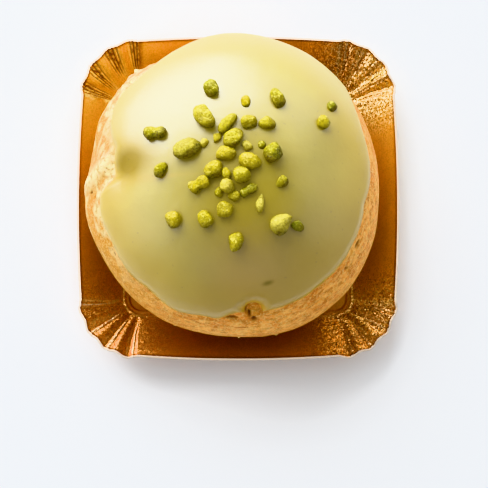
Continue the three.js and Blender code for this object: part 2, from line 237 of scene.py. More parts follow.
NUT_GRID = (34, 54)
SKIN_AND_SHADE_SIDE = np.array([0.35, -0.8, -0.45])  # the way in which skin is left on a nut: its shaded side, so the skin also serves as painted shade
LIT_SIDE = np.array([-0.25, 0.45, 0.86])  # the way the light comes from; the nut's foot, facing away from it, is painted in shade

# Photograph's view
PHOTO_SIDE = 488
CAMERA_AIM = Vector((1.687, -13.10, 7.44)) * MM
CAMERA_AZIMUTH, CAMERA_ELEVATION = 270.0, 83.0
CAMERA_DISTANCE = 0.7
CAMERA_FOCAL = 2489  # pixels
SENSOR = 36.0

# Light: name, azimuth, elevation, distance, width and height in metres, radiance
PANELS = [
    ("window", 116.5, 26.0, 1.2, 1.38, 1.1, 9.0),
    ("north_east_card", 62.0, 27.0, 1.2, 0.97, 0.97, 1.9),
    ("west_card", 180.0, 36.0, 1.2, 1.3, 0.9, 1.55),
    ("east_card", 8.0, 34.0, 1.2, 1.4, 0.9, 0.5),
    ("south_card", 268.0, 52.0, 1.2, 1.2, 0.8, 0.45),
]
DAYLIGHT = (0.94, 1.0, 1.08)
SURROUND = 0.6
SURROUND_TONE = (1.0, 0.98, 0.95, 1.0)
OVERHEAD = (0.0, -0.17, 0.985)  # the way in which the surround is dim
OVERHEAD_TONE = (0.15, 0.15, 0.15, 1.0)
OVERHEAD_EDGES = (0.72, 0.97)  # cosines of the angle from that way
FLOOR_TONE = (0.9, 0.9, 0.9, 1.0)
FLOOR_HALF = 2000.0


# Shared working

def turn_between(start, azimuth):
    """The smaller turn from one azimuth to another, from -180 to 180."""
    return (azimuth - start + 180) % 360 - 180


def directions(polar, azimuth):
    """Unit vectors at angles from the crown and round it."""
    down, round_z = np.broadcast_arrays(np.radians(polar), np.radians(azimuth))
    radius = np.sin(down)
    return np.stack([radius * np.cos(round_z), radius * np.sin(round_z), np.cos(down)], axis=-1)


def bell(distance, reach):
    """One in the middle, falling off to nothing past the reach: e to the minus square."""
    return np.exp(-((distance / reach) ** 2))


def bell_round(azimuth, middle, reach):
    """A bell of the turn from the azimuth in its middle."""
    return bell(turn_between(middle, azimuth), reach)


def bell_about(towards, middle_azimuth, middle_polar, reach):
    """A bell of the angle between unit vectors and the one in its middle, which is the arc cosine of
    their product."""
    cosine = np.clip(towards @ directions(middle_polar, middle_azimuth), -1, 1)
    return bell(np.degrees(np.arccos(cosine)), reach)


def ease(value, low, high):
    """Nought below low, one above high, and a smooth S between."""
    share = np.clip((value - low) / (high - low), 0, 1)
    return share * share * (3 - 2 * share)


def soft_minimum(first, second, blend):
    """The smaller of two values, with the change-over rounded off within the blend."""
    share = np.clip(0.5 + (second - first) / (2 * blend), 0, 1)
    return second + (first - second) * share - blend * share * (1 - share)


def scattered(cells, seed):
    """A repeatable number from -1 to 1 for each lattice corner: its whole-number place and the seed
    times large odd numbers, folded over itself by shifts until it is well mixed."""
    place = cells.astype(np.int64).astype(np.uint32)
    number = place[..., 0] * np.uint32(374761393) + place[..., 1] * np.uint32(668265263)
    number = number + place[..., 2] * np.uint32(2246822519) + np.uint32(seed * 40503)
    number = (number ^ (number >> np.uint32(15))) * np.uint32(2246822519)
    number = (number ^ (number >> np.uint32(13))) * np.uint32(3266489917)
    return (number ^ (number >> np.uint32(16))) / 2147483647.5 - 1


def noise(points, cell, seed):
    """Smooth noise from -1 to 1: scattered values at a lattice's corners, blended across each cell."""
    scaled = points / np.asarray(cell, float)
    low = np.floor(scaled)
    part = scaled - low
    part = part * part * (3 - 2 * part)
    total = np.zeros(points.shape[:-1])
    for corner in itertools.product((0, 1), repeat=3):
        weight = np.prod(np.where(np.array(corner) == 1, part, 1 - part), axis=-1)
        total += weight * scattered(low + corner, seed)
    return total


def layered_noise(points, layers):
    """Noises of several sizes added up, each with its height, cell and seed."""
    return sum(height * noise(points, cell, seed) for height, cell, seed in layers)


def crowded_turns(count, details):
    """Azimuths of a ring of columns, spaced by a density of one plus a bell at each detail: azimuth,
    reach, height. The density is added up round the ring, and equal steps of that sum give the
    columns."""
    fine = np.linspace(0, 360, 7201)
    density = np.ones_like(fine)
    for middle, reach, height in details:
        density += height * bell_round(fine, middle, reach)
    filled = np.concatenate([[0], np.cumsum(density[1:])])
    return np.interp(np.arange(count) * filled[-1] / count, filled, fine)


def in_scene(name, data):
    """A new object of the scene for a mesh, a lamp or a camera."""
    item = bpy.data.objects.new(name, data)
    bpy.context.scene.collection.objects.link(item)
    return item


def make_piece(name, points, faces, marks, finish):
    """A smooth-shaded mesh object at the origin, from points in millimetres, with a value or vector of
    each mark at each point."""
    mesh = bpy.data.meshes.new(name)
    mesh.from_pydata((points * MM).tolist(), [], faces)
    for mark, values in marks.items():
        kind, field = ("FLOAT_VECTOR", "vector") if values.ndim == 2 else ("FLOAT", "value")
        mesh.attributes.new(mark, kind, "POINT").data.foreach_set(field, values.astype(np.float32).ravel())
    mesh.materials.append(finish)
    mesh.shade_smooth()
    return in_scene(name, mesh)


def skin_faces(rows, columns):
    """Faces of a closed skin: quads between rows, counted from the crown down and anticlockwise, and a
    fan of triangles round the crown and the foot, which are the two points after the grid."""
    index = np.arange(rows * columns).reshape(rows, columns)
    beside = np.roll(index, -1, axis=1)
    quads = np.stack([index[:-1], index[1:], beside[1:], beside[:-1]], axis=-1).reshape(-1, 4)
    crown = np.full(columns, rows * columns)
    top = np.stack([crown, index[0], beside[0]], axis=-1)
    bottom = np.stack([crown + 1, beside[-1], index[-1]], axis=-1)
    return quads, np.concatenate([top, bottom])


def with_poles(grid):
    """A grid's rows of points or values in one list, then the middles of its first and last rows."""
    flat = grid.reshape(-1, *grid.shape[2:])
    return np.concatenate([flat, [grid[0].mean(axis=0)], [grid[-1].mean(axis=0)]])


def skin_piece(name, grid, marks, finish):
    """A closed piece from rows of points that run from its crown to its foot."""
    quads, fans = skin_faces(*grid.shape[:2])
    flat_marks = {mark: with_poles(values) for mark, values in marks.items()}
    return make_piece(name, with_poles(grid), quads.tolist() + fans.tolist(), flat_marks, finish)


# Bun

def on_dome(polar, azimuth, out):
    """Points on the bun's plain dome, moved out along its normal: above the waist an ellipse of the
    dome's rise, below it one of the under drop, carried round the upright axis."""
    down, round_z = np.radians(polar), np.radians(azimuth)
    rise = np.where(polar < 90, DOME_RISE, UNDER_DROP)
    sideways, up = np.sin(down) / BUN_RADIUS, np.cos(down) / rise
    length = np.hypot(sideways, up)
    radius = BUN_RADIUS * np.sin(down) + out * sideways / length
    height = WAIST_HEIGHT + rise * np.cos(down) + out * up / length
    return np.stack([radius * np.cos(round_z), radius * np.sin(round_z), height], axis=-1) + PUFF_PLACE


def way_down(polar):
    """Millimetres down the dome for one degree of polar angle: the length of the ellipse's tangent."""
    tilt = np.radians(polar)
    return np.radians(1) * np.hypot(BUN_RADIUS * np.cos(tilt), DOME_RISE * np.sin(tilt))


def over_dome(polar, azimuth, middle_azimuth, middle_polar):
    """How far points lie anticlockwise round the dome and down it from a middle, in millimetres: the
    turn by the radius at the middle, and the difference in polar angle by the way down there."""
    radius = BUN_RADIUS * np.sin(np.radians(middle_polar))
    across = radius * np.radians(turn_between(middle_azimuth, azimuth))
    return across, way_down(middle_polar) * (polar - middle_polar)


def oval(polar, azimuth, place, power=1.5):
    """A patch on the dome about an azimuth and a polar angle, with a half length round the dome and a
    half width down it: a bell of the distance in those half sizes, raised to a power that flattens its
    middle."""
    middle_azimuth, middle_polar, half_length, half_width = place
    across, down = over_dome(polar, azimuth, middle_azimuth, middle_polar)
    return bell(np.hypot(across / half_length, down / half_width) ** power, 1)


def spots(polar, azimuth, places):
    """The strongest of several ovals at each point, and their depths added up."""
    strength = np.zeros(polar.shape)
    depth = np.zeros(polar.shape)
    for *place, deep in places:
        patch = oval(polar, azimuth, place)
        strength = np.maximum(strength, patch)
        depth += deep * patch
    return strength, depth


def swells(polar, azimuth):
    """Broad relief: a bell about each swell's middle, faded out from under the waist to the foot."""
    towards = directions(polar, azimuth)
    height = np.zeros(towards.shape[:-1])
    for *place, swell in SWELLS:
        height += swell * bell_about(towards, *place)
    return height * (1 - ease(polar, RELIEF_ENDS, FOOT_POLAR))


def west_fold(polar, azimuth):
    """A roll of crust and the furrow beside it, as bells across a line down the bun. The line turns
    from the roll's azimuth at its top by an exponential that settles at the full turn, and the furrow
    keeps beside it."""
    line = ROLL_AZIMUTH + ROLL_TURN * (1 - np.exp(-np.clip(polar - 57, 0, None) / 15))
    length = ease(polar, 52, 58) * (1 - ease(polar, 88, 104))
    aside = turn_between(line, azimuth)
    roll = bell(aside, ROLL_WIDTH) * length
    furrow = bell(aside - FURROW_BESIDE, FURROW_WIDTH) * length * (1 - ease(polar, 70, 84))
    return roll, furrow


def bubble_reach(polar, azimuth):
    """Distance over the dome from the middle of the burst bubble, with a waver, and how far towards its
    upper left that lies, from -1 to 1."""
    across, down = over_dome(polar, azimuth, BUBBLE_AZIMUTH, BUBBLE_POLAR)
    away = np.hypot(across, down) + 0.3 * noise(on_dome(polar, azimuth, 0), 1.6, 8)
    return away, -(0.5 * across + 0.85 * down) / np.maximum(away, 0.01)


def streak_lie(polar, azimuth):
    """Where a point lies for streaky patterns: its place round the waist, drawn in to two fifths, and
    its way down in millimetres. A pattern over these comes out two and a half times as long round the
    bun as down it."""
    ring = directions(np.full(polar.shape, 90.0), azimuth) * BUN_RADIUS * STREAK_SQUEEZE
    ring[..., 2] = np.radians(polar) * (BUN_RADIUS + DOME_RISE) / 2
    return ring


def painted_light_sides(polar, azimuth, edge):
    """Painted light: cream patches on the two lit sides of the crust, west and north-west: the larger of
    two bells round the bun, weaker below the waist, where a noise that is raised next to the icing passes
    a mark."""
    north_west = bell_round(azimuth, *LIT_CREAM_NORTH_WEST)
    side = np.maximum(bell_round(azimuth, *LIT_CREAM_WEST), north_west) * (1 - 0.75 * ease(polar, 82, 104))
    near = 1 - ease(polar - edge, 2, 9)
    patches = noise(on_dome(polar, azimuth, 0), (2.2, 2.2, 1.2), 10) + 0.8 * near + 0.5 * north_west
    return side * ease(patches, 0.15, 0.6)


def make_bun(finish):
    """The choux bun: the plain dome with swells, lumps, streaks laid round it, the west fold, flakes,
    pits, crumbs and the hollow of the burst bubble added up along its normal, and a flat base."""
    azimuth = crowded_turns(BUN_COLUMNS, BUN_DETAIL)[None, :]
    edge = icing_edge(azimuth)
    covered = np.linspace(0.02, UNDER_ICING, UNDER_ICING_ROWS)[:, None] * edge
    flank = np.linspace(0, 1, FLANK_ROWS + 1)[1:, None] ** FLANK_CROWDING
    flank = UNDER_ICING * edge + flank * (FOOT_POLAR - UNDER_ICING * edge)
    polar = np.concatenate([covered, flank])
    azimuth = np.broadcast_to(azimuth, polar.shape)
    plain = on_dome(polar, azimuth, 0)

    lie = streak_lie(polar, azimuth)
    roll, furrow = west_fold(polar, azimuth)
    flaky = bell_round(azimuth, *FLAKY) * ease(polar, 66, 74) * (1 - ease(polar, 98, 106))
    flakes = np.clip(noise(plain, (2.2, 2.2, 1.4), 6) + 0.15, 0, None) * flaky
    pit_shade, pit_depth = spots(polar, azimuth, PITS)
    crumb, crumb_height = spots(polar, azimuth, [(a, p, size, size, high) for a, p, size, high in CRUMBS])
    away, upper_left = bubble_reach(polar, azimuth)
    hollow = 1 - ease(away, 0.75 * BUBBLE_RADIUS, 1.15 * BUBBLE_RADIUS)

    fine = layered_noise(plain, LUMPS) + STREAK_HEIGHT * layered_noise(lie, STREAKS)
    fine += GRAIN_HEIGHT * noise(plain, 0.8, 5) + FLAKE_HEIGHT * flakes + crumb_height - pit_depth
    fine += ROLL_HEIGHT * roll - FURROW_DEPTH * furrow
    fine -= hollow * (BUBBLE_DEPTH - BUBBLE_ROUGHNESS * noise(plain, 0.9, 7))
    fine *= (1 - ease(polar, FINE_RELIEF_ENDS, FOOT_POLAR)) * ease(polar, 0.85 * edge, 0.9 * edge)
    grid = on_dome(polar, azimuth, swells(polar, azimuth) + fine)
    base = grid[-1] + (PUFF_PLACE - grid[-1]) * FOOT_DRAWN_IN
    base[:, 2] = PUFF_PLACE[2]

    # Painted shadow inside the burst bubble's rim, on its upper-left side, which the icing's edge shades
    rim = 0.8 * bell(away - 0.85 * BUBBLE_RADIUS, 0.4) * ease(upper_left, -0.4, 0.4)
    # Painted light on the lit west and north-west sides, carried in the pale mark
    cream = 0.9 * painted_light_sides(polar, azimuth, edge)
    # Browner low down and on two sides; in the bubble's hollow and the furrow the browning is painted
    # shade
    toast_and_shade = 0.4 * hollow + 0.7 * furrow + ease(polar, 84, 112)
    toast_and_shade += sum(strength * bell_round(azimuth, middle, reach) for middle, reach, strength in TOASTED)
    marks = {
        "pit_shade": np.clip(np.maximum(pit_shade, rim), 0, 1),
        # Pale is the crust's own on crumbs and flakes, and painted light on the roll and the lit sides
        "pale": np.clip(np.maximum.reduce([crumb, roll, 1.5 * flakes, cream]), 0, 1),
        "toast_and_shade": np.clip(toast_and_shade, 0, 1),
        "lie": lie * MM,
    }
    grid = np.concatenate([grid, base[None]])
    marks = {mark: np.concatenate([values, values[-1:]]) for mark, values in marks.items()}
    return skin_piece("choux_bun_crust", grid, marks, finish)


# Icing

def icing_edge(azimuth):
    """Polar angle of the icing's edge: its usual angle plus a bell for each run, with a fine waver."""
    polar = np.full(azimuth.shape, EDGE_POLAR)
    for middle, spread, further in ICING_RUNS:
        polar += further * bell_round(azimuth, middle, spread)
    return polar + layered_noise(directions(90, azimuth) * BUN_RADIUS, EDGE_WAVER)


def bitten_edge(azimuth):
    """The icing's edge with the burst bubble bitten out of it: the upper half of a circle, which gives
    way to the plain edge past its sides."""
    across, _ = over_dome(BUBBLE_POLAR, azimuth, BUBBLE_AZIMUTH, BUBBLE_POLAR)
    bite = np.sqrt(np.clip(1 - (across / BUBBLE_RADIUS) ** 2, 0, None))
    circle = BUBBLE_POLAR - BUBBLE_RADIUS / way_down(BUBBLE_POLAR) * bite
    circle += 20 * ease(np.abs(across), 0.97 * BUBBLE_RADIUS, 1.2 * BUBBLE_RADIUS)
    return soft_minimum(icing_edge(azimuth), circle, 0.4)


def icing_marks(polar, azimuth, inside):
    """Marks for the icing's finish: the distance inside its edge, a dark mark, painted shade on its south
    middle as the deep mark, painted shade in the west dimple, painted light on its north-west and north
    side, and how matt the dimple's shade, the mark and the lip away from the north are."""
    towards = directions(polar, azimuth)
    north = np.sin(np.radians(azimuth))
    mark = oval(polar, azimuth, ICING_MARK)
    # Painted shade in the west dimple, part by part
    painted_shade = np.clip(sum(part * oval(polar, azimuth, place, 1.0) for *place, part in DIMPLE_SHADE), 0, 1)
    # Painted light on the north-west and along the north side near the edge, where the window's highlight
    # lies
    painted_light = np.maximum(bell_about(towards, *PAINTED_LIGHT_NORTH_WEST), 0.9 * ease(north, 0.2, 0.7) * ease(polar, 48, 68))
    lip = (1 - ease(inside, 0, 4.5)) * (0.5 - 0.5 * north)
    return {
        "inside": inside,
        "mark": mark,
        # The deep mark is painted shade over the south middle
        "deep": bell_about(towards, *PAINTED_SHADE_SOUTH),
        "painted_shade": painted_shade,
        "painted_light": painted_light,
        "matt": np.clip(0.64 * painted_shade + 0.5 * mark + 0.85 * lip, 0, 0.9),
    }


def make_icing(finish):
    """The icing: an upper skin from the crown to the edge and a lower skin back to the crown, inside
    the crust. Its lift off the bun rises from nothing at the edge by a power curve over the lip, by the
    distance inside the edge, which allows for the edge's slant and for the burst bubble."""
    azimuth = crowded_turns(ICING_COLUMNS, ICING_DETAIL)[None, :]
    share = 1 - (1 - np.linspace(0, 1, ICING_ROWS + 1)[1:, None]) ** ICING_CROWDING
    polar = share * bitten_edge(azimuth)
    azimuth = np.broadcast_to(azimuth, polar.shape)

    arc = way_down(polar)
    plain_edge = icing_edge(azimuth)
    slant = np.gradient(plain_edge[0], azimuth[0]) * arc[-1] / (BUN_RADIUS * np.radians(1))
    inside = (plain_edge - polar) * arc / np.hypot(1, slant)
    away, _ = bubble_reach(polar, azimuth)
    inside = np.clip(soft_minimum(inside, away - BUBBLE_RADIUS, 0.3), 0, None)
    lift = ICING_THICKNESS * (1 - (1 - np.clip(inside / LIP, 0, 1)) ** LIP_CURVE)

    relief = swells(polar, azimuth)
    waver = layered_noise(on_dome(polar, azimuth, 0), ICING_WAVER) * ease(inside, 0, 3)
    upper = on_dome(polar, azimuth, relief + lift + waver - EDGE_SINK)
    lower = on_dome(polar, azimuth, relief - ICING_SINK)[LOWER_ROWS]
    marks = icing_marks(polar, azimuth, inside)
    marks = {name: np.concatenate([values, values[LOWER_ROWS]]) for name, values in marks.items()}
    return skin_piece("pistachio_icing_coat", np.concatenate([upper, lower]), marks, finish)


# Chopped nuts

def by_number(changes):
    """A value for each nut from a few given by their number in the list, and nought for the rest."""
    values = np.zeros(len(NUTS))
    values[list(changes)] = list(changes.values())
    return values[:, None, None]


def nut_lumps(towards, length, width):
    """Each nut about its own middle: a ball cut by random planes with softened edges, stretched to its
    size, pinched or tapered where it is so, and roughened by noise. The ball's reach is one over a
    power sum of one and of how much each cut faces that way, by the cut's depth."""
    draw = np.random.default_rng(NUT_SEED)
    cuts = draw.normal(size=(len(NUTS), NUT_CUTS, 3))
    cuts /= np.linalg.norm(cuts, axis=-1, keepdims=True)
    depth = draw.uniform(*NUT_CUT_DEPTHS, size=(len(NUTS), 1, 1, NUT_CUTS))
    facing = np.clip(np.einsum("rci,nki->nrck", towards, cuts), 0, None)
    reach = (1 + ((facing / depth) ** NUT_SHARPNESS).sum(axis=-1)) ** (-1 / NUT_SHARPNESS)
    lump = towards * (NUT_SWELL * reach)[..., None]

    narrowed = 1 - by_number(NUT_PINCH) * bell(lump[..., 0], 0.4) - by_number(NUT_TAPER) * lump[..., 0]
    lump[..., 1:] *= narrowed[..., None]
    lump *= np.stack([length, width, NUT_HEIGHT * width], axis=-1)[:, None, None, :] / 2
    spread = lump + NUT_NOISE_STEP * np.arange(len(NUTS))[:, None, None, None]
    rough = layered_noise(spread, NUT_ROUGHNESS) * np.clip(width / 4, 0.4, 1)[:, None, None]
    return lump + towards * rough[..., None]


def nut_places(x, y, width, turn):
    """The middle of each nut, with its underside sunk in the icing, and its axes: along the icing at
    its turn, across that, and out along the dome's normal."""
    azimuth = np.degrees(np.arctan2(y, x))
    polar = np.degrees(np.arcsin(np.hypot(x, y) / (BUN_RADIUS + ICING_THICKNESS - ICING_SINK)))
    lift = swells(polar, azimuth) + ICING_THICKNESS + NUT_HEIGHT * width / 2 - NUT_SINK
    up = on_dome(polar, azimuth, 1) - on_dome(polar, azimuth, 0)
    sideways = np.cross(up, directions(90.0, turn))
    sideways /= np.linalg.norm(sideways, axis=-1, keepdims=True)
    return on_dome(polar, azimuth, lift), np.stack([np.cross(sideways, up), sideways, up], axis=1)


def make_nuts(finish):
    """Chopped nuts, all in one mesh: each lump turned to its axes and moved to its place. Skin is left
    where a nut faces its shaded side, with noise, so that the skin also serves as painted shade, and the
    foot, painted in shade, is where it faces away from the lit side."""
    rows, columns = NUT_GRID
    x, y, length, width, turn, green, skin, pale = np.array(NUTS, float).T
    round_ball = np.arange(columns)[None, :] * 360 / columns
    towards = directions(np.linspace(0, 180, rows + 2)[1:-1, None], round_ball)
    lumps = nut_lumps(towards, length, width)
    middle, axes = nut_places(x, y, width, turn)
    points = np.einsum("nrci,nij->nrcj", lumps, axes) + middle[:, None, None, :]

    outward = np.einsum("rci,nij->nrcj", towards, axes)
    hidden = outward @ SKIN_AND_SHADE_SIDE + 0.55 * noise(points, 2.2, 33)
    bare = 1.0 - 2.4 * skin[:, None, None]
    even = np.ones((1, rows, columns))
    marks = {
        # Real skin, placed on the shaded side so that it also serves as painted shade
        "skin": ease(hidden, bare - 0.25, bare + 0.3),
        # Painted shade on the side of each nut away from the light
        "foot": 1 - ease(outward @ LIT_SIDE, 0.1, 0.95),
        "green": green[:, None, None] * even,
        "pale": pale[:, None, None] * even,
    }

    quads, fans = skin_faces(rows, columns)
    start = np.arange(len(NUTS))[:, None, None] * (rows * columns + 2)
    faces = (quads + start).reshape(-1, 4).tolist() + (fans + start).reshape(-1, 3).tolist()
    points = np.concatenate([with_poles(nut) for nut in points])
    for mark, values in marks.items():
        marks[mark] = np.concatenate([with_poles(nut) for nut in values])
    return make_piece("chopped_pistachios", points, faces, marks, finish)


# Card case

def case_ring():
    """The columns round the case, as arrays: the middle that each is measured from in corner sizes, its
    facing, how much it bows out as part of a side, its corner and its share of the way round that
    corner, or -1 on a side, and its way round the case, which is even in the middle of a corner and odd
    in the middle of a side."""
    turned = np.arange(CORNER_STEPS) / CORNER_STEPS
    along = np.arange(SIDE_STEPS) / SIDE_STEPS
    signs = np.array([(1, 1), (-1, 1), (-1, -1), (1, -1), (1, 1)])
    parts = []
    for corner, (here, beyond) in enumerate(itertools.pairwise(signs)):
        line = here + (beyond - here) * along[:, None]
        parts.append({
            "x": np.concatenate([np.full(CORNER_STEPS, here[0]), line[:, 0]]),
            "y": np.concatenate([np.full(CORNER_STEPS, here[1]), line[:, 1]]),
            "facing": np.concatenate([corner + turned, np.full(SIDE_STEPS, corner + 1.0)]) * 90,
            "bow": np.concatenate([np.zeros(CORNER_STEPS), 1 - (2 * along - 1) ** 2]),
            "corner": np.full(CORNER_STEPS + SIDE_STEPS, corner),
            "share": np.concatenate([turned, np.full(SIDE_STEPS, -1.0)]),
            "way": 2 * corner + np.concatenate([turned - 0.5, along + 0.5]),
        })
    return {name: np.concatenate([part[name] for part in parts]) for name in parts[0]}


def creased(corner, share, wall):
    """Fine creases: within each group a wave of as many lines as it has, under a bell across the group,
    growing from the share of the wall where the group begins. Also the bells alone, as the patches that
    the groups cover."""
    height = np.zeros(np.broadcast_shapes(share.shape, wall.shape))
    patch = np.zeros_like(height)
    for number, groups in enumerate(CREASES):
        here = (corner == number) & (share >= 0)
        for angle, half_width, turn, lines, begins in groups:
            aside = (90 * share - angle - turn * (1 - wall)) / half_width
            cover = here * bell(aside, 0.85) * ease(wall, begins, begins + 0.35)
            height += np.cos(np.pi * lines * aside / 2) * cover
            patch = np.maximum(patch, cover)
    return height, patch


def case_height(out):
    """Height of the card's upper face by the distance out from the wall's foot: floor, an S up to the
    ledge, a bead along it, and the wall's slope, which sets in by a rounded foot."""
    ledge = LEDGE_RISE * ease(out, -LEDGE - LEDGE_SLOPE, -LEDGE)
    wall = FOOT_ROUNDING * np.logaddexp(0, out / FOOT_ROUNDING) * np.tan(WALL_SLOPE)
    return CARD + ledge + BEAD * bell(out + BEAD_BACK, BEAD_REACH) + wall


def case_marks(ring, out, wall, grid, creases, patch):
    """Marks for the foil: the cut edge; how crazed the nearest corner is, with its painted shade in the
    creases, darker still in smudges over the patches of creases, and its painted highlight on the ridges
    between them; and the painted reflection and painted shade of the foil on the way round."""
    nearest = np.round(ring["way"] / 2).astype(int) % 4
    from_corner = np.abs(turn_between(90 * nearest, 45 * ring["way"])) / 45
    crazed = (1 - ease(from_corner, 0.4, 0.75)) * ease(out, -2.0, 0.5)
    smudge = patch * ease(noise(grid, 0.7, 41), -0.1, 0.3) * ease(wall, 0.3, 0.6)
    way, painted_reflection, painted_shade = np.array(FOIL).T
    even = np.ones(grid.shape[:2])
    return {
        "cut": (np.abs(out - WALL_RUN) < 0.01) * even,
        "craze": CRAZED[nearest] * crazed,
        # Painted shade along the creases, darker still in smudges over the patches of creases
        "crease_shade": PAINTED_CREASE_DARKNESS[nearest] * np.clip(np.maximum(-1.8 * creases, smudge), 0, 1),
        # Painted highlight on the ridges between the creases
        "ridge_highlight": PAINTED_RIDGE_LIGHT[nearest] * np.clip(2 * creases, 0, 1),
        # Painted reflection and painted shade of the foil, by the way round the case
        "painted_reflection": np.interp(ring["way"], way, painted_reflection) * even,
        "painted_shade": np.interp(ring["way"], way, painted_shade) * even,
    }


def make_case(finish):
    """The card case: rows of the upper face from the floor out to the rim, the slanted cut edge, and
    rows of the underside back in. Pleats bulge the wall along its normal by the square of a sine round
    each corner."""
    ring = case_ring()
    out = np.concatenate([CASE_ROWS, CASE_ROWS[::-1]])[:, None]
    under = np.repeat([0.0, 1.0], len(CASE_ROWS))[:, None]
    wall = np.clip(out / WALL_RUN, 0, None)
    at_rim = ease(out, WALL_RUN - RIM_BAND, WALL_RUN)

    creases, patch = creased(ring["corner"], ring["share"], wall)
    pleats = wall * np.sin(np.pi * PLEATS * ring["share"]) ** 2 * (ring["share"] >= 0)
    bulge = PLEAT_DEPTH * pleats - CREASE_DEPTH * creases
    wider = FLOOR_WIDENING * (1 - ease(out, 0, WIDENING_ENDS))
    reach = FLOOR_CORNER + wider + out + SIDE_BOW * wall * ring["bow"] + bulge * np.sin(WALL_SLOPE)
    reach -= (1 - under) * CUT_WIDTH * np.cos(WALL_SLOPE) * at_rim
    height = case_height(out) - bulge * np.cos(WALL_SLOPE) - under * (CARD - RIM_THINNING * at_rim)
    facing = np.radians(ring["facing"])
    x = ring["x"] * (CORNER_X - wider) + reach * np.cos(facing)
    y = ring["y"] * (CORNER_Y - wider) + reach * np.sin(facing)
    grid = np.stack([x, y, height], axis=-1)
    return skin_piece("gold_case_card", grid, case_marks(ring, out, wall, grid, creases, patch), finish)


# Finishes

def tint(red, green, blue):
    """A display colour from 0 to 255 as the linear colour that shaders take."""
    share = np.array([red, green, blue]) / 255
    linear = np.where(share <= 0.04045, share / 12.92, ((share + 0.055) / 1.055) ** 2.4)
    return (*linear.tolist(), 1.0)


def add_node(tree, kind, inputs=None, **settings):
    """A new node with its settings, and its inputs either linked from a socket or set to a value."""
    node = tree.nodes.new(kind)
    for name, value in settings.items():
        setattr(node, name, value)
    for name, value in (inputs or {}).items():
        if isinstance(value, bpy.types.NodeSocket):
            tree.links.new(value, node.inputs[name])
        else:
            node.inputs[name].default_value = value
    return node


def mixed(tree, share, first, second):
    """A colour mixed from two by a share, which is a socket or a number."""
    colour_a, colour_b = 6, 7
    inputs = {0: share, colour_a: first, colour_b: second}
    return add_node(tree, "ShaderNodeMix", inputs, data_type="RGBA").outputs[2]


def product(tree, first, second):
    """Two values multiplied, each a socket or a number."""
    return add_node(tree, "ShaderNodeMath", {0: first, 1: second}, operation="MULTIPLY").outputs[0]


def ramped(tree, value, slope, start):
    """A value times a slope, plus a start."""
    inputs = {0: value, 1: slope, 2: start}
    return add_node(tree, "ShaderNodeMath", inputs, operation="MULTIPLY_ADD").outputs[0]


def risen(tree, value, low, high, form="SMOOTHSTEP"):
    """Nought at the low mark and one at the high one, with a smooth S between or another form."""
    inputs = {"Value": value, "From Min": low, "From Max": high}
    return add_node(tree, "ShaderNodeMapRange", inputs, interpolation_type=form).outputs[0]


def vectors(tree, operation, *inputs):
    """Vectors worked together, each a socket or three numbers."""
    return add_node(tree, "ShaderNodeVectorMath", dict(enumerate(inputs)), operation=operation).outputs[0]


def bump(tree, height, distance, under=None):
    """A normal from a height of nought to one, over a distance in metres, on top of another normal."""
    inputs = {"Height": height, "Distance": distance, "Strength": 1.0}
    if under is not None:
        inputs["Normal"] = under
    return add_node(tree, "ShaderNodeBump", inputs).outputs[0]


def mark_value(tree, name):
    """The piece's own mark of that name."""
    return add_node(tree, "ShaderNodeAttribute", attribute_name=name).outputs["Fac"]


def coated(tree, colour, coats):
    """A colour under coats laid on in turn: a mask, the share of it that covers, and the coat's colour."""
    for mask, share, coat in coats:
        colour = mixed(tree, product(tree, mask, share), colour, coat)
    return colour


def speckle_group():
    """A shared pattern: noise over a place, as a mask that rises from a low mark to a high one."""
    group = bpy.data.node_groups.new("speckle", "ShaderNodeTree")
    group.interface.new_socket("Place", in_out="INPUT", socket_type="NodeSocketVector")
    for name in ("Scale", "Detail", "Low", "High"):
        group.interface.new_socket(name, in_out="INPUT", socket_type="NodeSocketFloat")
    group.interface.new_socket("Mask", in_out="OUTPUT", socket_type="NodeSocketFloat")
    given = group.nodes.new("NodeGroupInput").outputs
    inputs = {"Vector": given["Place"], "Scale": given["Scale"], "Detail": given["Detail"]}
    pattern = add_node(group, "ShaderNodeTexNoise", inputs).outputs[0]
    add_node(group, "NodeGroupOutput", {"Mask": risen(group, pattern, given["Low"], given["High"])})
    return group


SPECKLE = speckle_group()


def speckled(tree, scale, detail=2.0, low=0.3, high=0.7, place=None):
    """The shared speckle with a material's own values, over the piece's own space or a given place."""
    place = place or add_node(tree, "ShaderNodeTexCoord").outputs["Object"]
    inputs = {"Place": place, "Scale": scale, "Detail": detail, "Low": low, "High": high}
    return add_node(tree, "ShaderNodeGroup", inputs, node_tree=SPECKLE).outputs["Mask"]


def new_finish(name, **shader_values):
    """A material with a Principled shader whose plain values are set on its own sockets."""
    finish = bpy.data.materials.new(name)
    finish.use_nodes = True
    shader = finish.node_tree.nodes["Principled BSDF"]
    for socket, value in shader_values.items():
        shader.inputs[socket.replace("_", " ")].default_value = value
    return finish, finish.node_tree, shader.inputs


def plug(tree, shader, values):
    """Values that change over the surface, linked to the shader's sockets by name."""
    for socket, value in values.items():
        tree.links.new(value, shader[socket])


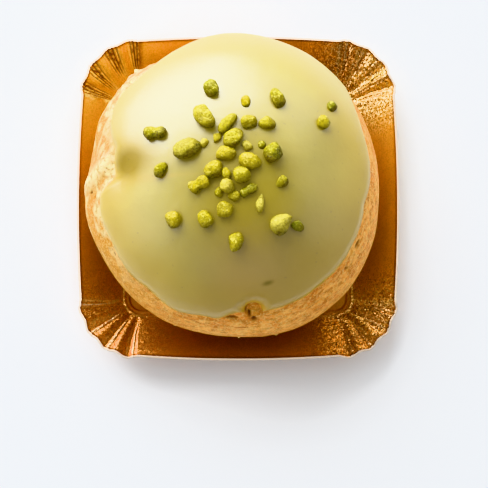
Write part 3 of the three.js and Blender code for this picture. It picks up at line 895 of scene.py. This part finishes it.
def crust_finish():
    """Baked choux: tan with paler and browner streaks laid round it, toasted low down and on two sides,
    with painted shade browning the bubble's hollow and the furrow, pale on crumbs and flakes, painted
    cream as painted light on the lit sides and the roll, flecked most where it is pale, and with painted
    shade in pits and on the shadowed rim of the burst bubble."""
    finish, tree, shader = new_finish(
        "baked_choux", Specular_IOR_Level=0.2,
        Subsurface_Weight=0.12, Subsurface_Scale=0.0015, Subsurface_Radius=(1.0, 0.5, 0.2),
    )
    lie = add_node(tree, "ShaderNodeAttribute", attribute_name="lie").outputs["Vector"]
    broad = speckled(tree, 330, 3.0, place=lie)
    light = speckled(tree, 1200, 2.0, 0.45, 0.62, lie)
    dark = speckled(tree, 950, 3.0, 0.48, 0.62, lie)
    grain = speckled(tree, 1900, 1.0, 0.5, 0.66)
    fleck = speckled(tree, 640, 4.0, 0.5, 0.56)
    pale = mark_value(tree, "pale")
    tan = mixed(tree, broad, tint(222, 139, 58), tint(244, 174, 87))
    colour = coated(tree, tan, [
        (light, 0.5, tint(254, 204, 118)),
        (dark, 0.6, tint(178, 94, 26)),
        # Browner low down and on two sides, with painted shade in the bubble's hollow and the furrow
        (mark_value(tree, "toast_and_shade"), 0.88, tint(184, 126, 36)),
        # Pale coat: crumbs and flakes, with painted light on the roll and the lit sides
        (pale, 0.9, tint(254, 240, 176)),
        (fleck, ramped(tree, pale, 0.6, 0.2), tint(140, 92, 20)),
        (grain, 0.45, tint(254, 218, 136)),
        # Painted shade in the pits and on the shadowed rim of the burst bubble
        (mark_value(tree, "pit_shade"), 1.0, tint(104, 58, 22)),
    ])
    plug(tree, shader, {
        "Base Color": colour,
        "Roughness": ramped(tree, broad, 0.15, 0.6),
        "Normal": bump(tree, grain, 0.00008, bump(tree, light, 0.0001)),
    })
    return finish


def icing_finish():
    """Poured pistachio icing: soft gloss, faintly mottled, warmer down its flank and most where it thins
    to its edge, with painted shade on its south middle and in the west dimple, painted light on its
    north-west and north side, a dark mark and a few darker specks. Its gloss is less where it is matt."""
    finish, tree, shader = new_finish(
        "pistachio_icing", IOR=1.65, Specular_IOR_Level=0.95,
        Subsurface_Weight=0.2, Subsurface_Scale=0.0015, Subsurface_Radius=(1.0, 0.8, 0.35),
    )
    mottle = speckled(tree, 70, 3.0)
    speck = speckled(tree, 900, 0.0, 0.8, 0.86)
    inside = mark_value(tree, "inside")
    green = mixed(tree, mottle, tint(153, 135, 29), tint(161, 143, 35))
    colour = coated(tree, green, [
        # Painted shade over the south middle, carried by the deep mark
        (mark_value(tree, "deep"), 0.9, tint(137, 113, 24)),
        (risen(tree, inside, 24.0, 0.0), 0.4, tint(192, 149, 24)),
        (risen(tree, inside, 2.2, 0.0), 0.5, tint(212, 158, 60)),
        # Painted light on the north-west and north side
        (mark_value(tree, "painted_light"), 0.6, tint(172, 158, 92)),
        # Painted shade in the west dimple
        (mark_value(tree, "painted_shade"), 0.58, tint(112, 88, 16)),
        (speck, 0.35, tint(120, 100, 44)),
        (mark_value(tree, "mark"), 0.75, tint(98, 86, 26)),
    ])
    plug(tree, shader, {
        "Base Color": colour,
        "Specular IOR Level": ramped(tree, mark_value(tree, "matt"), -1.0, 0.95),
        "Roughness": ramped(tree, mottle, 0.06, 0.33),
        "Normal": bump(tree, speckled(tree, 420, 3.0), 0.00002),
    })
    return finish


def nut_finish():
    """Chopped pistachio: yellow to green flesh, grainy with pale crumbs, with painted shade at its foot,
    away from the light, under patches of brownish-green skin that lie on its shaded side and so add
    painted shade."""
    finish, tree, shader = new_finish(
        "chopped_pistachio", Specular_IOR_Level=0.25,
        Subsurface_Weight=0.12, Subsurface_Scale=0.001, Subsurface_Radius=(0.8, 1.0, 0.2),
    )
    grain = speckled(tree, 2200, 2.0, 0.42, 0.68)
    crumb = speckled(tree, 1400, 2.0, 0.52, 0.72)
    blotch = speckled(tree, 330, 1.0)
    flesh = mixed(tree, mark_value(tree, "green"), tint(204, 180, 6), tint(104, 114, 6))
    skin = mixed(tree, blotch, tint(56, 56, 4), tint(86, 66, 14))
    colour = coated(tree, flesh, [
        (mark_value(tree, "pale"), 1.0, tint(226, 212, 104)),
        (blotch, 0.5, tint(116, 100, 2)),
        (grain, 0.4, tint(100, 84, 2)),
        (crumb, 0.5, tint(242, 226, 104)),
        # Painted shade at the foot, away from the light
        (mark_value(tree, "foot"), 0.55, tint(98, 82, 2)),
        # Skin, lying on the shaded side, so also painted shade
        (mark_value(tree, "skin"), ramped(tree, grain, 0.5, 0.45), skin),
    ])
    plug(tree, shader, {
        "Base Color": colour,
        "Roughness": ramped(tree, grain, 0.2, 0.42),
        "Normal": bump(tree, grain, 0.00008),
    })
    return finish


def gold_finish():
    """Gold foil on card: orange gold pressed into fine flakes that each lean their own way, most in the
    crazed corners, where more of them carry painted sparkles or painted shade. It is lighter where painted
    reflection lies and darker where painted shade lies, with painted shade along its creases and painted
    highlights on the ridges between them, and a pale cut edge."""
    finish, tree, shader = new_finish("gold_card", Specular_Tint=(1.0, 0.8, 0.5, 1.0))
    place = add_node(tree, "ShaderNodeTexCoord").outputs["Object"]
    flakes = add_node(tree, "ShaderNodeTexVoronoi", {"Vector": place, "Scale": 3600.0}).outputs["Color"]
    cloud = speckled(tree, 160)
    blotch = speckled(tree, 330, 3.0, 0.48, 0.62)
    cut = mark_value(tree, "cut")
    craze = mark_value(tree, "craze")
    painted_reflection = mark_value(tree, "painted_reflection")
    often = ramped(tree, craze, 0.6, 0.15)
    # Painted reflection: lighter foil where it stands for lit surroundings reflected
    gold = mixed(tree, painted_reflection, (0.66, 0.21, 0.055, 1.0), (1.0, 0.75, 0.18, 1.0))
    # Colour of the painted glints, lighter where painted reflection lies
    painted_glint = mixed(tree, painted_reflection, (1.0, 0.48, 0.12, 1.0), (1.0, 0.72, 0.36, 1.0))
    colour = coated(tree, gold, [
        (cloud, 0.25, (0.5, 0.22, 0.06, 1.0)),
        (blotch, product(tree, craze, 0.35), (0.3, 0.12, 0.035, 1.0)),
        # Painted shade on the foil in places round the case
        (mark_value(tree, "painted_shade"), 1.0, (0.16, 0.07, 0.012, 1.0)),
        # Painted shade in the creases
        (mark_value(tree, "crease_shade"), 1.0, (0.18, 0.055, 0.008, 1.0)),
        # Painted highlight on the ridges between the creases
        (mark_value(tree, "ridge_highlight"), 1.0, (1.0, 0.8, 0.45, 1.0)),
        # Painted shade on some flakes
        (risen(tree, flakes, 0.45, 0.25, "LINEAR"), often, (0.22, 0.09, 0.02, 1.0)),
        # Painted glints on some flakes
        (risen(tree, flakes, 0.55, 0.75, "LINEAR"), often, painted_glint),
        (cut, 1.0, tint(244, 222, 196)),
    ])
    lean = vectors(tree, "SUBTRACT", flakes, (0.5, 0.5, 0.5))
    upright = add_node(tree, "ShaderNodeNewGeometry").outputs["Normal"]
    leaning = vectors(tree, "MULTIPLY_ADD", lean, ramped(tree, craze, 0.6, 0.07), upright)
    plug(tree, shader, {
        "Base Color": colour,
        "Metallic": ramped(tree, cut, -1.0, 1.0),
        "Roughness": ramped(tree, cloud, 0.06, 0.3),
        "Normal": vectors(tree, "NORMALIZE", leaning),
    })
    return finish


# Stage, light and camera

def make_facing(name, data, aim, azimuth, elevation, distance):
    """A lamp or camera at a distance from what it is aimed at, turned to face it."""
    back = Vector(directions(90.0 - elevation, azimuth).tolist())
    turn = back.to_track_quat("Z", "Y").to_matrix().to_4x4()
    item = in_scene(name, data)
    item.matrix_world = Matrix.Translation(aim + distance * back) @ turn
    return item


def make_camera():
    """The photograph's view: from the south and almost overhead, through a long lens."""
    lens = bpy.data.cameras.new("camera")
    lens.sensor_width = SENSOR
    lens.lens = SENSOR * CAMERA_FOCAL / PHOTO_SIDE
    view = (CAMERA_AIM, CAMERA_AZIMUTH, CAMERA_ELEVATION, CAMERA_DISTANCE)
    bpy.context.scene.camera = make_facing("camera", lens, *view)
    bpy.context.scene.view_settings.view_transform = "Khronos PBR Neutral"


def make_panels():
    """Soft panels of light that face the puff. A panel's power is its radiance by pi by its area."""
    for name, azimuth, elevation, distance, width, height, radiance in PANELS:
        panel = bpy.data.lights.new(name, "AREA")
        panel.shape = "RECTANGLE"
        panel.size, panel.size_y = width, height
        panel.energy = radiance * np.pi * width * height
        panel.color = DAYLIGHT
        make_facing(name, panel, Vector(), azimuth, elevation, distance)


def make_surround():
    """An even white surround that is dim overhead, by the cosine of the angle from there."""
    world = bpy.data.worlds.new("surround")
    world.use_nodes = True
    tree = world.node_tree
    inputs = {0: add_node(tree, "ShaderNodeTexCoord").outputs["Generated"], 1: OVERHEAD}
    cosine = add_node(tree, "ShaderNodeVectorMath", inputs, operation="DOT_PRODUCT").outputs["Value"]
    tone = mixed(tree, risen(tree, cosine, *OVERHEAD_EDGES), SURROUND_TONE, OVERHEAD_TONE)
    surround = tree.nodes["Background"].inputs
    tree.links.new(tone, surround["Color"])
    surround["Strength"].default_value = SURROUND
    bpy.context.scene.world = world


def make_floor():
    """A plain pale floor."""
    corners = FLOOR_HALF * np.array([(-1, -1, 0), (1, -1, 0), (1, 1, 0), (-1, 1, 0)])
    finish, _, _ = new_finish("pale_floor", Base_Color=FLOOR_TONE, Roughness=0.9, Specular_IOR_Level=0.1)
    floor = make_piece("floor", corners, [(0, 1, 2, 3)], {}, finish)


make_camera()
make_panels()
make_surround()
make_floor()

bun = make_bun(crust_finish())
icing = make_icing(icing_finish())
nuts = make_nuts(nut_finish())
case = make_case(gold_finish())
for piece, node, slot in (
    (bun, "choux_bun", "choux_crust"),
    (icing, "pistachio_icing", "pistachio_icing"),
    (nuts, "pistachio_icing", "pistachio_icing"),
    (case, "gold_card_case", "gold_card"),
):
    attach(piece, "root")
    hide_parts(node)
